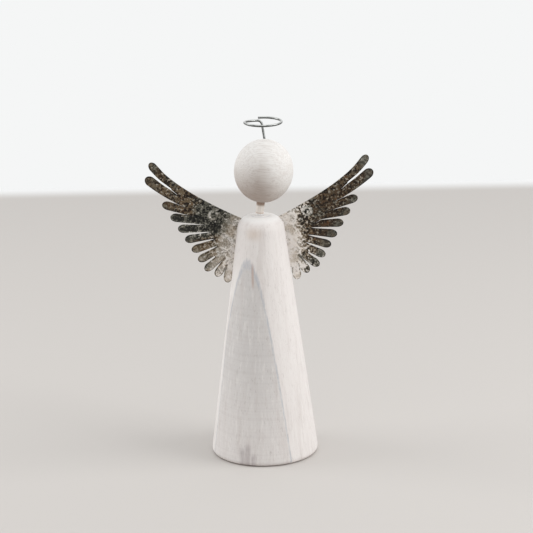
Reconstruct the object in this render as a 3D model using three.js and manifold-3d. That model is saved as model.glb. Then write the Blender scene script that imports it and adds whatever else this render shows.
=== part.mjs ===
// Wooden angel figurine: a turned cone for the body, a ball for the head on a leaning dowel, a halo bent
// from one wire, and two cut sheet-metal wings nailed to the back.
// Millimetres, +Z up, the front faces -Y, and the origin is under the middle of the body.

import * as THREE from 'three';
import { mergeVertices } from 'three/addons/utils/BufferGeometryUtils.js';
import Module from 'manifold-3d';

const wasm = await Module();
wasm.setup();

// Fit between pieces that touch
const CLEARANCE = 0.3;

// Body: a straight-sided cone, measured to the sharp corners that its roundings cut off
const BODY_HEIGHT = 125.5;
const BODY_BASE_RADIUS = 27.6;
const BODY_TOP_RADIUS = 11.1;
const BODY_FOOT_ROUNDING = 2.2;
const BODY_SHOULDER_ROUNDING = 7;

// Neck: a dowel set in the body and the head
const NECK_RADIUS = 2.1;
const NECK_SHOWN = 7.05;
const NECK_IN_BODY = 15;
const NECK_IN_HEAD = 11;
const NECK_CHAMFER = 0.5;
const NECK_OFFSET = -0.6;
const NECK_LEAN = THREE.MathUtils.degToRad(6.3);

// Head: a ball, turned slightly taller than wide
const HEAD_WIDTH = 30;
const HEAD_HEIGHT = 32.2;

// Halo: a wire that stands in the head behind the crown and is bent round one level turn
const WIRE_RADIUS = 0.62;
const HALO_RADIUS = 9.25;
const HALO_HEIGHT = 10.1;
const HALO_STEM_IN_HEAD = 9;
const HALO_HOLE_SIDE = -1;
const HALO_HOLE_BACK = 4;
const HALO_CENTRE_SIDE = -0.6;
const HALO_CENTRE_FORWARD = 6;
const HALO_START_ANGLE = THREE.MathUtils.degToRad(95);
const HALO_OVERLAP_ANGLE = THREE.MathUtils.degToRad(10);
const HALO_RISE_ANGLE = THREE.MathUtils.degToRad(110);
const HALO_TURN_GAP = 0.25;
const HALO_START_DIP = 1.3;
const HALO_BEND = 2.4;

// Wings: flat sheets that lie along the back of the body, each turned round it from the middle, and the
// pair nailed on a little askew
const SHEET_THICKNESS = 0.8;
const WING_TURN = THREE.MathUtils.degToRad(9);
const WING_TILT = THREE.MathUtils.degToRad(0.7);
const WING_DROP = 14.6;
const WING_STAGGER = 0.8;
const WING_MIDDLE_GAP = 0.4;
const WING_TAB_LENGTH = 20;

// Feathers, in the wing's own plane: across from the line of contact, and up from the wing's root.
// Each width is the one near the tip, and each free length is that of the slot above the feather.
const FEATHER_TAPER = 0.78;
const FEATHER_TIP_LENGTH = 3.2;
const SLOT_WIDTH = 0.5;
const LEADING_INSET = 0.75;
const LEADING_UP = 4;
const LEADING_BEND = new THREE.Vector2(41.6, 25.7);
const LEADING_TIP = new THREE.Vector2(54.1, 44);
const LEADING_WIDTH = 4.2;
const LEADING_FREE = 15;
const SECOND_ROOT = new THREE.Vector2(22, 13.2);
const SECOND_BEND = new THREE.Vector2(40.9, 22);
const SECOND_TIP = new THREE.Vector2(56.3, 36.2);
const SECOND_WIDTH = 5;
const SECOND_FREE = 14.7;
const SHORT_FEATHERS = 9;
const SHORT_WIDTH = 4.5;
const SHORT_FREE_FIRST = 13;
const SHORT_FREE_LAST = 7.2;
const SHORT_ROOT_FIRST = new THREE.Vector2(27.8, 13.5);
const SHORT_ROOT_BEND = new THREE.Vector2(13.7, -2);
const SHORT_ROOT_LAST = new THREE.Vector2(14.4, -12.7);
const SHORT_TIP_FIRST = new THREE.Vector2(48.3, 21.4);
const SHORT_TIP_CORNER = new THREE.Vector2(27.6, -16.6);
const SHORT_TIP_LAST = new THREE.Vector2(15.6, -24.6);
const SHORT_CROWDING = 0.2;

// Pressed round boss on each wing, domed at the front and hollow behind
const BOSS_ACROSS = 22.4;
const BOSS_UP = 13.3;
const BOSS_RADIUS = 2.7;
const BOSS_RISE = 0.6;

// Nails: domed heads on pointed shanks, two in the tab of each wing
const NAIL_HEAD_RADIUS = 1.5;
const NAIL_HEAD_RISE = 0.8;
const NAIL_SHANK_RADIUS = 0.6;
const NAIL_LENGTH = 9;
const NAIL_POINT = 1.6;
const NAIL_INSET = 3.1;
const NAIL_UPPER_DROP = 5.5;
const NAIL_SPACING = 9.5;

// Facets
const BODY_SIDES = 64;
const HEAD_SIDES = 44;
const HEAD_RINGS = 22;
const DOWEL_SIDES = 20;
const WIRE_SIDES = 10;
const WIRE_STEPS = 80;
const RING_POINTS = 40;
const ROUNDING_STEPS = 6;
const FEATHER_STEPS = 6;
const TIP_STEPS = 8;
const BOSS_SIDES = 20;
const NAIL_SIDES = 10;
const MERGE_DISTANCE = 1e-5;

// Sizes that follow from the ones above
const sideLean = Math.atan((BODY_BASE_RADIUS - BODY_TOP_RADIUS) / BODY_HEIGHT);
const sideLength = Math.hypot(BODY_HEIGHT, BODY_BASE_RADIUS - BODY_TOP_RADIUS);
const wingRootRadius = BODY_TOP_RADIUS + WING_DROP * Math.sin(sideLean);
const tabInner = WING_MIDDLE_GAP - wingRootRadius * Math.tan(WING_TURN);
const leadingRoot = new THREE.Vector2(tabInner + LEADING_INSET, LEADING_UP);
const turnPitch = 2 * WIRE_RADIUS + HALO_TURN_GAP;

const materials = {
  body: new THREE.MeshStandardMaterial({ color: 0xdcd5ce, roughness: 0.75, metalness: 0 }),
  head: new THREE.MeshStandardMaterial({ color: 0xd6cdc4, roughness: 0.75, metalness: 0 }),
  neck: new THREE.MeshStandardMaterial({ color: 0xd2c3b0, roughness: 0.8, metalness: 0 }),
  wire: new THREE.MeshStandardMaterial({ color: 0x9a9da0, roughness: 0.25, metalness: 1 }),
  sheet: new THREE.MeshStandardMaterial({ color: 0x5f574c, roughness: 0.45, metalness: 0.8 }),
  nail: new THREE.MeshStandardMaterial({ color: 0x8b8780, roughness: 0.4, metalness: 1 }),
};

// Geometry as a solid that can be joined and cut, placed by a matrix
function solidFrom(geometry, matrix = new THREE.Matrix4()) {
  const bare = geometry.clone().applyMatrix4(matrix);
  bare.deleteAttribute('normal');
  bare.deleteAttribute('uv');
  const merged = mergeVertices(bare, MERGE_DISTANCE);
  const corners = merged.index.array;
  const kept = [];
  for (let i = 0; i < corners.length; i += 3) {
    const [a, b, c] = corners.slice(i, i + 3);
    if (a !== b && b !== c && c !== a) kept.push(a, b, c);
  }
  const mesh = new wasm.Mesh({
    numProp: 3,
    vertProperties: Float32Array.from(merged.attributes.position.array),
    triVerts: Uint32Array.from(kept),
  });
  return new wasm.Manifold(mesh);
}

function geometryFrom(solid) {
  const mesh = solid.getMesh();
  const geometry = new THREE.BufferGeometry();
  geometry.setAttribute('position', new THREE.BufferAttribute(mesh.vertProperties, 3));
  geometry.setIndex(new THREE.BufferAttribute(mesh.triVerts, 1));
  geometry.computeVertexNormals();
  return geometry;
}

// Points of a profile whose corners [x, y, rounding] are softened by arcs
function roundedProfile(corners) {
  const points = [];
  corners.forEach(([x, y, rounding = 0], i) => {
    const corner = new THREE.Vector2(x, y);
    if (rounding === 0) {
      points.push(corner);
      return;
    }
    const before = new THREE.Vector2(...corners[i - 1]).sub(corner).normalize();
    const after = new THREE.Vector2(...corners[i + 1]).sub(corner).normalize();
    const half = Math.acos(before.dot(after)) / 2;
    const middle = before.clone().add(after).normalize();
    const centre = corner.clone().addScaledVector(middle, rounding / Math.sin(half));
    const start = corner.clone().addScaledVector(before, rounding / Math.tan(half)).sub(centre);
    const end = corner.clone().addScaledVector(after, rounding / Math.tan(half)).sub(centre);
    const sweep = Math.atan2(start.cross(end), start.dot(end));
    for (let step = 0; step <= ROUNDING_STEPS; step += 1) {
      const point = start.clone().rotateAround(new THREE.Vector2(), (sweep * step) / ROUNDING_STEPS);
      points.push(point.add(centre));
    }
  });
  return points;
}

// A turned piece: its profile starts and ends on the axis, which stands along +Z
function turned(profile, sides) {
  return new THREE.LatheGeometry(profile, sides).rotateX(Math.PI / 2);
}

// A round hole to cut, from a depth below its mouth to a little above it
function drill(radius, depth, above, sides) {
  const length = depth + above;
  const geometry = new THREE.CylinderGeometry(radius, radius, length, sides);
  return geometry.rotateX(Math.PI / 2).translate(0, 0, above - length / 2);
}

function addMesh(parent, name, geometry, material) {
  const mesh = new THREE.Mesh(geometry, material);
  mesh.name = name;
  parent.add(mesh);
  return mesh;
}

// Frames: the leaning neck with the head on it, the level halo, and a flank of the body for each wing
const figure = new THREE.Group();

const neck = new THREE.Group();
neck.position.set(NECK_OFFSET, 0, BODY_HEIGHT);
neck.rotation.y = NECK_LEAN;
figure.add(neck);

const headCentre = new THREE.Group();
headCentre.position.z = NECK_SHOWN + HEAD_HEIGHT / 2;
neck.add(headCentre);

const halo = new THREE.Group();
const holeOut = Math.hypot(HALO_HOLE_SIDE, HALO_HOLE_BACK) / (HEAD_WIDTH / 2);
halo.position.set(HALO_HOLE_SIDE, HALO_HOLE_BACK, (HEAD_HEIGHT / 2) * Math.sqrt(1 - holeOut ** 2));
halo.rotation.y = -NECK_LEAN;
headCentre.add(halo);

// In a wing's frame X runs across, Y up the side of the body from the wing's root, and Z to the front
function wingFrame(side, drop) {
  const height = sideLength - drop;
  const flank = new THREE.Group();
  flank.rotation.z = -side * WING_TURN;
  figure.add(flank);
  const sheet = new THREE.Group();
  const out = CLEARANCE + SHEET_THICKNESS;
  sheet.position.y = BODY_BASE_RADIUS - height * Math.sin(sideLean) + out * Math.cos(sideLean);
  sheet.position.z = height * Math.cos(sideLean) + out * Math.sin(sideLean);
  sheet.rotation.x = Math.PI / 2 + sideLean;
  sheet.rotateZ(WING_TILT);
  flank.add(sheet);
  return sheet;
}

const wingSides = [
  { name: 'left', side: -1, sheet: wingFrame(-1, WING_DROP + WING_STAGGER / 2) },
  { name: 'right', side: 1, sheet: wingFrame(1, WING_DROP - WING_STAGGER / 2) },
];

const nailRows = [
  { name: 'upper', up: -NAIL_UPPER_DROP },
  { name: 'lower', up: -NAIL_UPPER_DROP - NAIL_SPACING },
];

const nails = [];
for (const { name, side, sheet } of wingSides) {
  for (const row of nailRows) {
    const place = new THREE.Group();
    place.position.set(side * (tabInner + NAIL_INSET), row.up, 0);
    sheet.add(place);
    nails.push({ name: `${name}_${row.name}_nail`, wing: name, place });
  }
}

figure.updateMatrixWorld(true);

// The stem points from its hole to the start of the ring
const stemDirection = ringPoint(0).normalize();

function bodyGeometry() {
  const profile = roundedProfile([
    [0, 0],
    [BODY_BASE_RADIUS, 0, BODY_FOOT_ROUNDING],
    [BODY_TOP_RADIUS, BODY_HEIGHT, BODY_SHOULDER_ROUNDING],
    [0, BODY_HEIGHT],
  ]);
  const socket = drill(NECK_RADIUS + CLEARANCE, NECK_IN_BODY + CLEARANCE, NECK_SHOWN, DOWEL_SIDES);
  let solid = solidFrom(turned(profile, BODY_SIDES));
  solid = solid.subtract(solidFrom(socket, neck.matrixWorld));
  const pilotDepth = NAIL_LENGTH + CLEARANCE;
  const pilot = drill(NAIL_SHANK_RADIUS + CLEARANCE, 0, pilotDepth, NAIL_SIDES);
  for (const nail of nails) solid = solid.subtract(solidFrom(pilot, nail.place.matrixWorld));
  return geometryFrom(solid);
}

function neckGeometry() {
  const length = NECK_IN_BODY + NECK_SHOWN + NECK_IN_HEAD;
  const profile = [
    [0, 0],
    [NECK_RADIUS - NECK_CHAMFER, 0],
    [NECK_RADIUS, NECK_CHAMFER],
    [NECK_RADIUS, length - NECK_CHAMFER],
    [NECK_RADIUS - NECK_CHAMFER, length],
    [0, length],
  ].map((point) => new THREE.Vector2(...point));
  return turned(profile, DOWEL_SIDES).translate(0, 0, -NECK_IN_BODY);
}

// The halo's ring by angle from its start, in the halo's frame: it starts low and ends over its start
function ringPoint(angle) {
  const turn = 2 * Math.PI + HALO_OVERLAP_ANGLE;
  const dip = HALO_START_DIP * (1 - THREE.MathUtils.smoothstep(angle, 0, HALO_RISE_ANGLE));
  const over = THREE.MathUtils.smoothstep(angle, turn - HALO_RISE_ANGLE, turn - HALO_OVERLAP_ANGLE);
  return new THREE.Vector3(
    HALO_CENTRE_SIDE + HALO_RADIUS * Math.cos(HALO_START_ANGLE + angle),
    -HALO_CENTRE_FORWARD + HALO_RADIUS * Math.sin(HALO_START_ANGLE + angle),
    HALO_HEIGHT - dip + (turnPitch - HALO_START_DIP) * over,
  );
}

// Way of the halo's wire: up the stem, over the bend, round the ring and past its own start
function haloPath() {
  const bend = ringPoint(0);
  const stemTop = bend.clone().addScaledVector(stemDirection, -HALO_BEND);
  const points = [stemDirection.clone().multiplyScalar(-HALO_STEM_IN_HEAD), new THREE.Vector3(), stemTop];
  const firstAngle = HALO_BEND / HALO_RADIUS;
  const lastAngle = 2 * Math.PI + HALO_OVERLAP_ANGLE;
  for (let i = 0; i <= RING_POINTS; i += 1) {
    points.push(ringPoint(THREE.MathUtils.lerp(firstAngle, lastAngle, i / RING_POINTS)));
  }
  return new THREE.CatmullRomCurve3(points, false, 'centripetal');
}

function haloGeometry(path) {
  const section = new THREE.Shape().absarc(0, 0, WIRE_RADIUS, 0, 2 * Math.PI);
  const halfCircleSides = WIRE_SIDES / 2;
  const options = { steps: WIRE_STEPS, curveSegments: halfCircleSides, extrudePath: path };
  return new THREE.ExtrudeGeometry(section, options);
}

// Least gap between stretches of the wire that are more than a quarter of a turn apart along it
function leastTurnGap(path) {
  const points = path.getSpacedPoints(WIRE_STEPS);
  const apart = Math.ceil(((Math.PI / 2) * HALO_RADIUS * WIRE_STEPS) / path.getLength());
  let least = Infinity;
  for (let i = 0; i < points.length; i += 1) {
    for (let j = i + apart; j < points.length; j += 1) {
      least = Math.min(least, points[i].distanceTo(points[j]) - 2 * WIRE_RADIUS);
    }
  }
  return least;
}

function headGeometry() {
  const outline = new THREE.EllipseCurve(0, 0, HEAD_WIDTH / 2, HEAD_HEIGHT / 2, -Math.PI / 2, Math.PI / 2);
  const profile = outline.getPoints(HEAD_RINGS);
  profile[0].x = 0;
  profile[HEAD_RINGS].x = 0;
  const socket = drill(NECK_RADIUS + CLEARANCE, NECK_SHOWN, NECK_IN_HEAD + CLEARANCE, DOWEL_SIDES);
  const underside = new THREE.Matrix4().makeTranslation(0, 0, -HEAD_HEIGHT / 2);
  const wireHole = drill(WIRE_RADIUS + CLEARANCE, HALO_STEM_IN_HEAD + CLEARANCE, HALO_BEND, WIRE_SIDES);
  const upward = new THREE.Vector3(0, 0, 1);
  const alongStem = new THREE.Quaternion().setFromUnitVectors(upward, stemDirection);
  wireHole.applyQuaternion(alongStem);
  const solid = solidFrom(turned(profile, HEAD_SIDES))
    .subtract(solidFrom(socket, underside))
    .subtract(solidFrom(wireHole, halo.matrix));
  return geometryFrom(solid);
}

// The middle line of a feather, from its root to its tip, straight unless it has a bend
function featherSpine({ root, tip, bend = root.clone().lerp(tip, 0.5) }) {
  return new THREE.QuadraticBezierCurve(root, bend, tip);
}

function featherHalf(feather, share) {
  return (THREE.MathUtils.lerp(FEATHER_TAPER, 1, share) * feather.width) / 2;
}

function leftOf(way) {
  return new THREE.Vector2(-way.y, way.x);
}

// Outline of a feather along its spine: it widens from the root, and the tip is round
function featherOutline(feather) {
  const wholeSpine = featherSpine(feather);
  const tipWay = wholeSpine.getTangent(1);
  const tipCentre = feather.tip.clone().addScaledVector(tipWay, -FEATHER_TIP_LENGTH);
  const spine = new THREE.QuadraticBezierCurve(wholeSpine.v0, wholeSpine.v1, tipCentre);
  const upper = [];
  const lower = [];
  for (let i = 0; i <= FEATHER_STEPS; i += 1) {
    const share = i / FEATHER_STEPS;
    const centre = spine.getPoint(share);
    const normal = leftOf(spine.getTangent(share));
    const half = featherHalf(feather, share);
    upper.push(centre.clone().addScaledVector(normal, half));
    lower.unshift(centre.clone().addScaledVector(normal, -half));
  }
  const tipNormal = leftOf(tipWay);
  const round = [];
  for (let i = 1; i < TIP_STEPS; i += 1) {
    const angle = (Math.PI * i) / TIP_STEPS;
    const point = tipCentre.clone().addScaledVector(tipNormal, (feather.width / 2) * Math.cos(angle));
    round.push(point.addScaledVector(tipWay, FEATHER_TIP_LENGTH * Math.sin(angle)));
  }
  return [...upper, ...round, ...lower];
}

// The feathers of a wing from the leading one down
function featherRow() {
  const row = [
    { root: leadingRoot, bend: LEADING_BEND, tip: LEADING_TIP, width: LEADING_WIDTH, free: LEADING_FREE },
    { root: SECOND_ROOT, bend: SECOND_BEND, tip: SECOND_TIP, width: SECOND_WIDTH, free: SECOND_FREE },
  ];
  const rootLine = new THREE.QuadraticBezierCurve(SHORT_ROOT_FIRST, SHORT_ROOT_BEND, SHORT_ROOT_LAST);
  const tipLine = new THREE.CurvePath();
  tipLine.add(new THREE.LineCurve(SHORT_TIP_FIRST, SHORT_TIP_CORNER));
  tipLine.add(new THREE.LineCurve(SHORT_TIP_CORNER, SHORT_TIP_LAST));
  for (let i = 0; i < SHORT_FEATHERS; i += 1) {
    const share = i / (SHORT_FEATHERS - 1);
    row.push({
      root: rootLine.getPoint(share),
      tip: tipLine.getPoint(share * (1 + SHORT_CROWDING * (1 - share) ** 2)),
      width: SHORT_WIDTH,
      free: THREE.MathUtils.lerp(SHORT_FREE_FIRST, SHORT_FREE_LAST, share),
    });
  }
  return row;
}

// Inner end of the slot above a feather
function slotEnd(feather) {
  const spine = featherSpine(feather);
  const share = 1 - feather.free / spine.getLength();
  const out = featherHalf(feather, share) + SLOT_WIDTH / 2;
  return spine.getPointAt(share).addScaledVector(leftOf(spine.getTangentAt(share)), out);
}

// The web that joins the feathers, from the tab behind the body to the ends of the slots
function webOutline(row) {
  const leading = featherSpine(row[0]);
  const joined = 1 - row[0].free / leading.getLength();
  const top = [];
  for (let i = 0; i <= FEATHER_STEPS; i += 1) top.push(leading.getPointAt((joined * i) / FEATHER_STEPS));
  return [
    new THREE.Vector2(tabInner, -WING_TAB_LENGTH),
    new THREE.Vector2(tabInner, LEADING_UP + featherHalf(row[0], 0)),
    ...top,
    ...row.slice(1).map(slotEnd),
  ];
}

function sheetFrom(outline, side) {
  const shape = new THREE.Shape(outline.map((point) => new THREE.Vector2(side * point.x, point.y)));
  const options = { depth: SHEET_THICKNESS, bevelEnabled: false };
  return solidFrom(new THREE.ExtrudeGeometry(shape, options));
}

// A shallow dome on a short plug that sinks below the dome's rim
function domeSolid(radius, rise, sink, place) {
  const profile = [new THREE.Vector2(0, -sink), new THREE.Vector2(radius, -sink)];
  for (let i = 0; i < ROUNDING_STEPS; i += 1) {
    const angle = ((Math.PI / 2) * i) / ROUNDING_STEPS;
    profile.push(new THREE.Vector2(radius * Math.cos(angle), rise * Math.sin(angle)));
  }
  profile.push(new THREE.Vector2(0, rise));
  return solidFrom(turned(profile, BOSS_SIDES), place);
}

function wingGeometry(name, side) {
  const row = featherRow();
  let solid = sheetFrom(webOutline(row), side);
  for (const feather of row) solid = solid.add(sheetFrom(featherOutline(feather), side));
  const front = new THREE.Matrix4().makeTranslation(side * BOSS_ACROSS, BOSS_UP, SHEET_THICKNESS);
  const back = new THREE.Matrix4().makeTranslation(side * BOSS_ACROSS, BOSS_UP, 0);
  const hollow = BOSS_RADIUS - SHEET_THICKNESS / 2;
  solid = solid.add(domeSolid(BOSS_RADIUS, BOSS_RISE, SHEET_THICKNESS / 2, front));
  solid = solid.subtract(domeSolid(hollow, BOSS_RISE, SHEET_THICKNESS / 2, back));
  const hole = drill(NAIL_SHANK_RADIUS + CLEARANCE, SHEET_THICKNESS, 2 * SHEET_THICKNESS, NAIL_SIDES);
  for (const nail of nails) {
    if (nail.wing === name) solid = solid.subtract(solidFrom(hole, nail.place.matrix));
  }
  return geometryFrom(solid);
}

// A nail along +Z, with the underside of its head a clearance behind the sheet
function nailGeometry() {
  const profile = [];
  for (let i = 0; i < ROUNDING_STEPS; i += 1) {
    const angle = ((Math.PI / 2) * i) / ROUNDING_STEPS;
    const out = NAIL_HEAD_RADIUS * Math.sin(angle);
    profile.push(new THREE.Vector2(out, -CLEARANCE - NAIL_HEAD_RISE * Math.cos(angle)));
  }
  profile.push(new THREE.Vector2(NAIL_HEAD_RADIUS, -CLEARANCE));
  profile.push(new THREE.Vector2(NAIL_SHANK_RADIUS, -CLEARANCE));
  profile.push(new THREE.Vector2(NAIL_SHANK_RADIUS, NAIL_LENGTH - NAIL_POINT));
  profile.push(new THREE.Vector2(0, NAIL_LENGTH));
  return turned(profile, NAIL_SIDES);
}

const haloCurve = haloPath();
console.log(`halo: least gap between its turns ${leastTurnGap(haloCurve).toFixed(2)} mm`);

addMesh(figure, 'body', bodyGeometry(), materials.body);
addMesh(neck, 'neck_dowel', neckGeometry(), materials.neck);
addMesh(headCentre, 'head', headGeometry(), materials.head);
addMesh(halo, 'halo', haloGeometry(haloCurve), materials.wire);
for (const { name, side, sheet } of wingSides) {
  addMesh(sheet, `${name}_wing`, wingGeometry(name, side), materials.sheet);
}
for (const { name, place } of nails) addMesh(place, name, nailGeometry(), materials.nail);

export default figure;
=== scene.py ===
import math

import bmesh
import bpy
import numpy as np
from mathutils import Matrix, Vector
from mathutils.geometry import delaunay_2d_cdt
from mathutils.kdtree import KDTree


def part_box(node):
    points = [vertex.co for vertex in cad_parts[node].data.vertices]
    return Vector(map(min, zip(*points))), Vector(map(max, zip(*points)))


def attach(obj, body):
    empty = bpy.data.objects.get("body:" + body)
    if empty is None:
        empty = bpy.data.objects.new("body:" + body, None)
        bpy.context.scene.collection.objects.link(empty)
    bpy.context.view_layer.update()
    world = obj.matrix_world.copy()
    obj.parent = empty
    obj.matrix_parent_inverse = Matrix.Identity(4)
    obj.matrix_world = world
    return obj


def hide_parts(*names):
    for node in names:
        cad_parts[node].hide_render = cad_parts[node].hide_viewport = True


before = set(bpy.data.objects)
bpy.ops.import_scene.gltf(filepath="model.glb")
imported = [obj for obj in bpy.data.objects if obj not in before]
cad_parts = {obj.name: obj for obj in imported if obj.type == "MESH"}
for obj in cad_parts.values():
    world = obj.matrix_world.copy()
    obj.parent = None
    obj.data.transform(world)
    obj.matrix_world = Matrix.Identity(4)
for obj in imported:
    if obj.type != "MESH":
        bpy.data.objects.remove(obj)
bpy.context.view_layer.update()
mm = 0.001
upward = Vector((0, 0, 1))
print("frame loaded with", len(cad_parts), "CAD nodes")


# Node trees

def pick(sockets, key):
    shown = [s for s in sockets if s.enabled]
    if isinstance(key, int):
        return shown[key]
    return next(s for s in shown if s.name == key)


def plug(tree, node, sockets):
    for key, value in sockets.items():
        target = pick(node.inputs, key)
        if isinstance(value, Signal):
            tree.links.new(value.socket, target)
        else:
            target.default_value = value


def setStops(ramp, stops):
    while len(ramp.elements) < len(stops):
        ramp.elements.new(1.0)
    for element, (position, colour) in zip(ramp.elements, stops):
        element.position = position
        element.color = (*colour, 1) if len(colour) == 3 else colour


class Signal:
    # one socket of a node tree, ready for an expression
    def __init__(self, tree, socket=None):
        self.tree = tree
        self.socket = socket

    def node(self, kind, settings={}, sockets={}, out=0):
        made = self.tree.nodes.new(kind)
        for key, value in settings.items():
            if key == "stops":
                setStops(made.color_ramp, value)
            else:
                setattr(made, key, value)
        plug(self.tree, made, sockets)
        return Signal(self.tree, pick(made.outputs, out))

    def other(self, out):
        return Signal(self.tree, pick(self.socket.node.outputs, out))

    def math(self, operation, *values):
        return self.node("ShaderNodeMath", {"operation": operation}, dict(enumerate(values)))

    def __add__(self, value):
        return self.math("ADD", self, value)

    __radd__ = __add__

    def __sub__(self, value):
        return self.math("SUBTRACT", self, value)

    def __rsub__(self, value):
        return self.math("SUBTRACT", value, self)

    def __mul__(self, value):
        return self.math("MULTIPLY", self, value)

    __rmul__ = __mul__

    def __truediv__(self, value):
        return self.math("DIVIDE", self, value)

    def __rtruediv__(self, value):
        return self.math("DIVIDE", value, self)

    def __abs__(self):
        return self.math("ABSOLUTE", self)

    def step(self, low, high):  # 0 below low, 1 above high, smooth between, also the other way round
        ends = {"Value": self, "From Min": low, "From Max": high}
        return self.node("ShaderNodeMapRange", {"interpolation_type": "SMOOTHSTEP"}, ends)

    def near(self, middle, outer, inner):  # 1 within inner of the middle, 0 beyond outer
        return abs(self - middle).step(outer, inner)

    def towards(self, target, share):
        return self + (target - self) * share

    def mix(self, under, over):  # self lays the colour over on the colour under
        return self.node("ShaderNodeMix", {"data_type": "RGBA"}, {"Factor": self, "A": under, "B": over})

    def cover(self, under, coat):  # a coat is a colour and the most that it hides
        colour, share = coat
        return (self * share).mix(under, colour)

    def ramp(self, stops):
        return self.node("ShaderNodeValToRGB", {"stops": stops}, {"Fac": self})

    def vector(self, operation, first, second):
        return self.node("ShaderNodeVectorMath", {"operation": operation}, {0: first, 1: second})

    def along(self, way):  # how far a spot lies along a way
        return self.vector("DOT_PRODUCT", self, way).other("Value")

    def scaled(self, factor):
        return self.node("ShaderNodeVectorMath", {"operation": "SCALE"}, {0: self, "Scale": factor})

    def split(self):
        first = self.node("ShaderNodeSeparateXYZ", {}, {0: self})
        return first, first.other("Y"), first.other("Z")

    def joined(self, x, y, z):
        return self.node("ShaderNodeCombineXYZ", {}, {"X": x, "Y": y, "Z": z})

    def length(self, x, y):
        return self.math("SQRT", x * x + y * y)

    def noise(self, scale, detail=3.0, roughness=0.5, out="Fac"):
        sockets = {"Vector": self, "Scale": scale, "Detail": detail, "Roughness": roughness}
        return self.node("ShaderNodeTexNoise", {}, sockets, out)


def srgb(red, green, blue):  # a colour as it looks on screen, 0 to 255
    def linear(value):
        share = value / 255
        return share / 12.92 if share <= 0.04045 else ((share + 0.055) / 1.055) ** 2.4
    return (linear(red), linear(green), linear(blue), 1)


def newFinish(name):
    finish = bpy.data.materials.new(name)
    finish.use_nodes = True
    return finish, Signal(finish.node_tree)


def endFinish(finish, sockets):
    plug(finish.node_tree, finish.node_tree.nodes["Principled BSDF"], sockets)
    return finish


def objectSpot(bench):  # object coordinates in mm
    return bench.node("ShaderNodeTexCoord", {}, {}, "Object").scaled(1 / mm)


def attribute(bench, name, out="Fac"):
    return bench.node("ShaderNodeAttribute", {"attribute_name": name}, {}, out)


def bumped(bench, height, depth):  # depth in mm
    return bench.node("ShaderNodeBump", {}, {"Height": height, "Distance": depth * mm})


def nodeTree(name, inputs):
    tree = bpy.data.node_groups.new(name, "GeometryNodeTree")
    tree.interface.new_socket("Geometry", in_out="INPUT", socket_type="NodeSocketGeometry")
    for label, kind in inputs.items():
        tree.interface.new_socket(label, in_out="INPUT", socket_type="NodeSocket" + kind)
    tree.interface.new_socket("Geometry", in_out="OUTPUT", socket_type="NodeSocketGeometry")
    source = tree.nodes.new("NodeGroupInput")
    return tree, Signal(tree), {s.name: Signal(tree, s) for s in source.outputs if s.name}


def named(bench, name, kind):
    return bench.node("GeometryNodeInputNamedAttribute", {"data_type": kind}, {"Name": name})


def endTree(bench, shape, finish):
    realized = bench.node("GeometryNodeRealizeInstances", {}, {"Geometry": shape})
    dressed = bench.node("GeometryNodeSetMaterial", {}, {"Geometry": realized, "Material": finish})
    plug(bench.tree, bench.tree.nodes.new("NodeGroupOutput"), {"Geometry": dressed})


def runTree(obj, tree, values):
    modifier = obj.modifiers.new(tree.name, "NODES")
    modifier.node_group = tree
    for item in tree.interface.items_tree:
        if item.in_out == "INPUT" and item.name in values:
            modifier[item.identifier] = values[item.name]
    settle(obj)


def settle(obj):
    # the result of the modifiers becomes the plain mesh
    depsgraph = bpy.context.evaluated_depsgraph_get()
    made = obj.evaluated_get(depsgraph)
    mesh = bpy.data.meshes.new_from_object(made, preserve_all_data_layers=True, depsgraph=depsgraph)
    obj.modifiers.clear()
    obj.data = mesh


# Meshes

def newPiece(name, points, edges=(), faces=()):
    mesh = bpy.data.meshes.new(name)
    mesh.from_pydata([tuple(p) for p in points], list(edges), list(faces))
    obj = bpy.data.objects.new(name, mesh)
    bpy.context.scene.collection.objects.link(obj)
    return obj


def newPath(name, points):
    return newPiece(name, points, [(i, i + 1) for i in range(len(points) - 1)])


def addNumbers(mesh, name, values, kind="FLOAT"):
    numbers = mesh.attributes.new(name, kind, "POINT")
    key = "vector" if kind == "FLOAT_VECTOR" else "value"
    numbers.data.foreach_set(key, np.asarray(values, np.float32).ravel())


def smoothFaces(obj, sharpAngle=40):  # edges that turn by more degrees than that stay sharp
    shape = bmesh.new()
    shape.from_mesh(obj.data)
    for face in shape.faces:
        face.smooth = True
    for edge in shape.edges:
        edge.smooth = edge.calc_face_angle(0) < math.radians(sharpAngle)
    shape.to_mesh(obj.data)
    shape.free()


def place(obj, nodes):
    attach(obj, "root")
    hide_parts(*nodes)
    print(obj.name, "made,", len(obj.data.polygons), "faces")


def tilted(way):  # turns what stands upright to that way
    return upward.rotation_difference(way).to_matrix().to_4x4()


def bore(obj, holes, sides=40):
    # each hole: its mouth, the way into the piece, its radius, its depth and its reach above the mouth
    shape = bmesh.new()
    for mouth, way, radius, depth, above in holes:
        seat = Matrix.Translation(mouth + way * (depth - above) / 2) @ tilted(way)
        bmesh.ops.create_cone(shape, cap_ends=True, segments=sides, radius1=radius, radius2=radius,
                              depth=depth + above, matrix=seat)
    drill = newPiece("drill", ())
    shape.to_mesh(drill.data)
    shape.free()
    cut = obj.modifiers.new("bore", "BOOLEAN")
    cut.operation, cut.solver, cut.object = "DIFFERENCE", "EXACT", drill
    settle(obj)
    bpy.data.objects.remove(drill)


# Turned pieces: a profile is rounded at its corners and swept round the upright axis

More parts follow.
